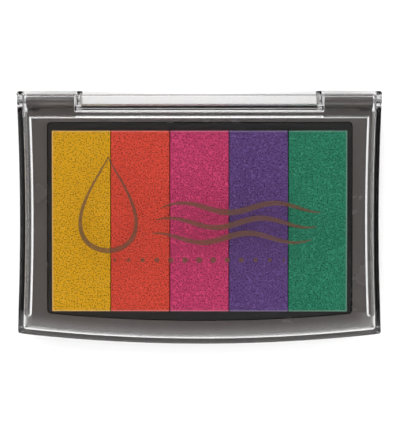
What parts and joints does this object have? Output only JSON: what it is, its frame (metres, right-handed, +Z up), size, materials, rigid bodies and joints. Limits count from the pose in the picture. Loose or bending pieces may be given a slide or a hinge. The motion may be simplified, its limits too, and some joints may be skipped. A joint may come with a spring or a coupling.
{
  "type": "ink pad",
  "caption": "Flat rectangular stamp ink pad with raised foam colour strips side by side in a grey base, under a hinged clear lid with a bowed front edge.",
  "frame": {"origin": "on the table, under the middle of the closed case's bounding box", "axes": "+X to the right across the colour strips, +Y to the hinge at the back, +Z up"},
  "size_m": [0.1166, 0.0808, 0.02],
  "materials": {
    "clear_plastic": "gloss",
    "grey_plastic": "satin",
    "black_plastic": "satin",
    "backing_board": "matte",
    "divider_film": "satin",
    "pin_steel": "satin",
    "label_paper": "satin",
    "foam_yellow": "matte",
    "foam_orange": "matte",
    "foam_magenta": "matte",
    "foam_purple": "matte",
    "foam_green": "matte"
  },
  "bodies": {
    "base": {"base": "grey_plastic", "underside_label": "label_paper", "pad_tray": "black_plastic", "backing_yellow": "backing_board", "backing_orange": "backing_board", "backing_magenta": "backing_board", "backing_purple": "backing_board", "backing_green": "backing_board", "foam_pad_yellow": "foam_yellow", "foam_pad_orange": "foam_orange", "foam_pad_magenta": "foam_magenta", "foam_pad_purple": "foam_purple", "foam_pad_green": "foam_green", "divider_yellow_orange": "divider_film", "divider_orange_magenta": "divider_film", "divider_magenta_purple": "divider_film", "divider_purple_green": "divider_film"},
    "lid": {"lid": "clear_plastic", "hinge_pin_left": "pin_steel", "hinge_pin_right": "pin_steel"}
  },
  "joints": [
    {"name": "lid_hinge", "type": "hinge", "parent": "base", "child": "lid", "pos_m": [0, 0.0375, 0.01015], "axis": [-1, 0, 0], "range_deg": [0, 180]}
  ]
}
